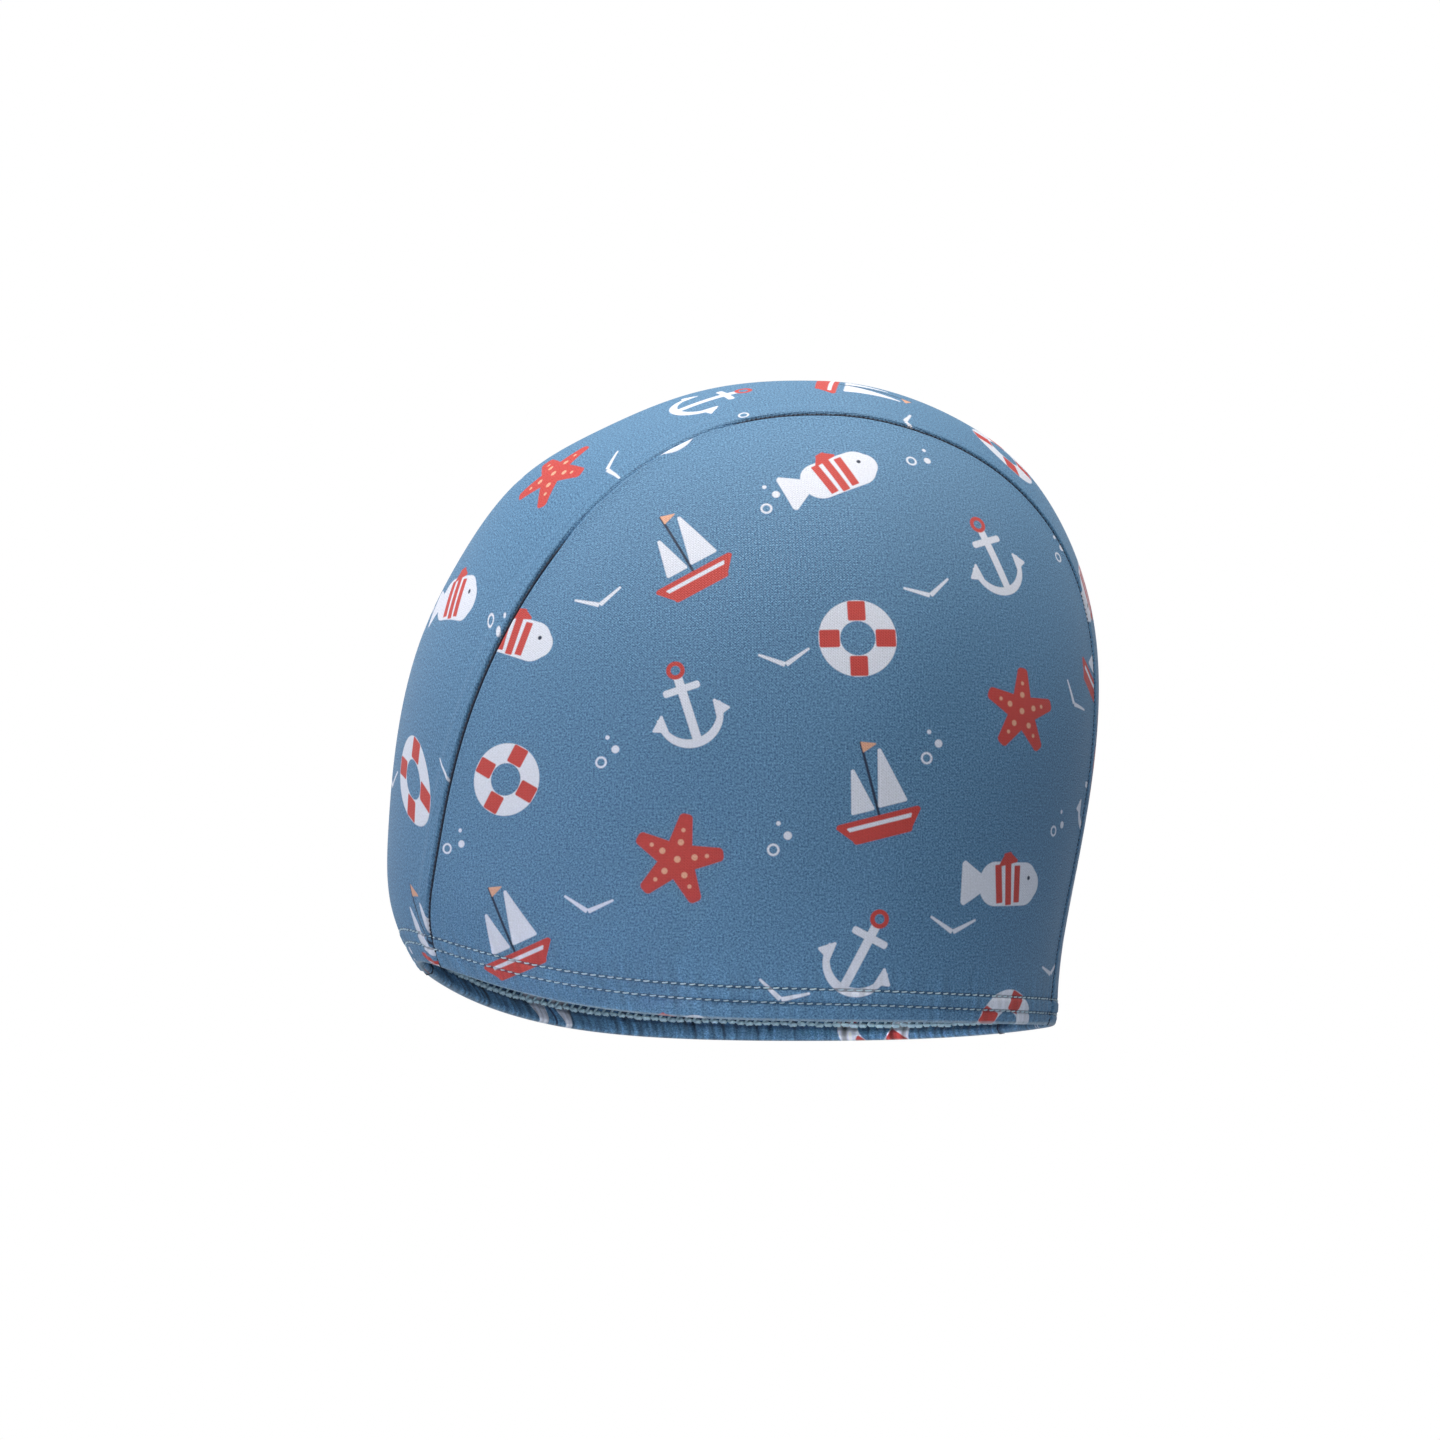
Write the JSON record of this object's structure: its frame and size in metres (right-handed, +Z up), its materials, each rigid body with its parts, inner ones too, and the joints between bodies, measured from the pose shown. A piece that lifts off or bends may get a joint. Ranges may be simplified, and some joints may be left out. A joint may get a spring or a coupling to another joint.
{
  "type": "swim cap",
  "caption": "Child's stretch-knit swim cap with a centre panel, two side panels and a turned-up hem, in the shape a head gives it.",
  "frame": {"origin": "middle of the head opening, where the cap sits on a head", "axes": "+Z up through the crown, -Y towards the front of the cap, +X towards the wearer's left"},
  "size_m": [0.1472, 0.1772, 0.1623],
  "materials": {
    "printed_knit": "matt printed swimwear knit"
  },
  "bodies": {
    "root": {"centre_panel": "printed_knit", "side_panel_left": "printed_knit", "side_panel_right": "printed_knit"}
  },
  "joints": []
}
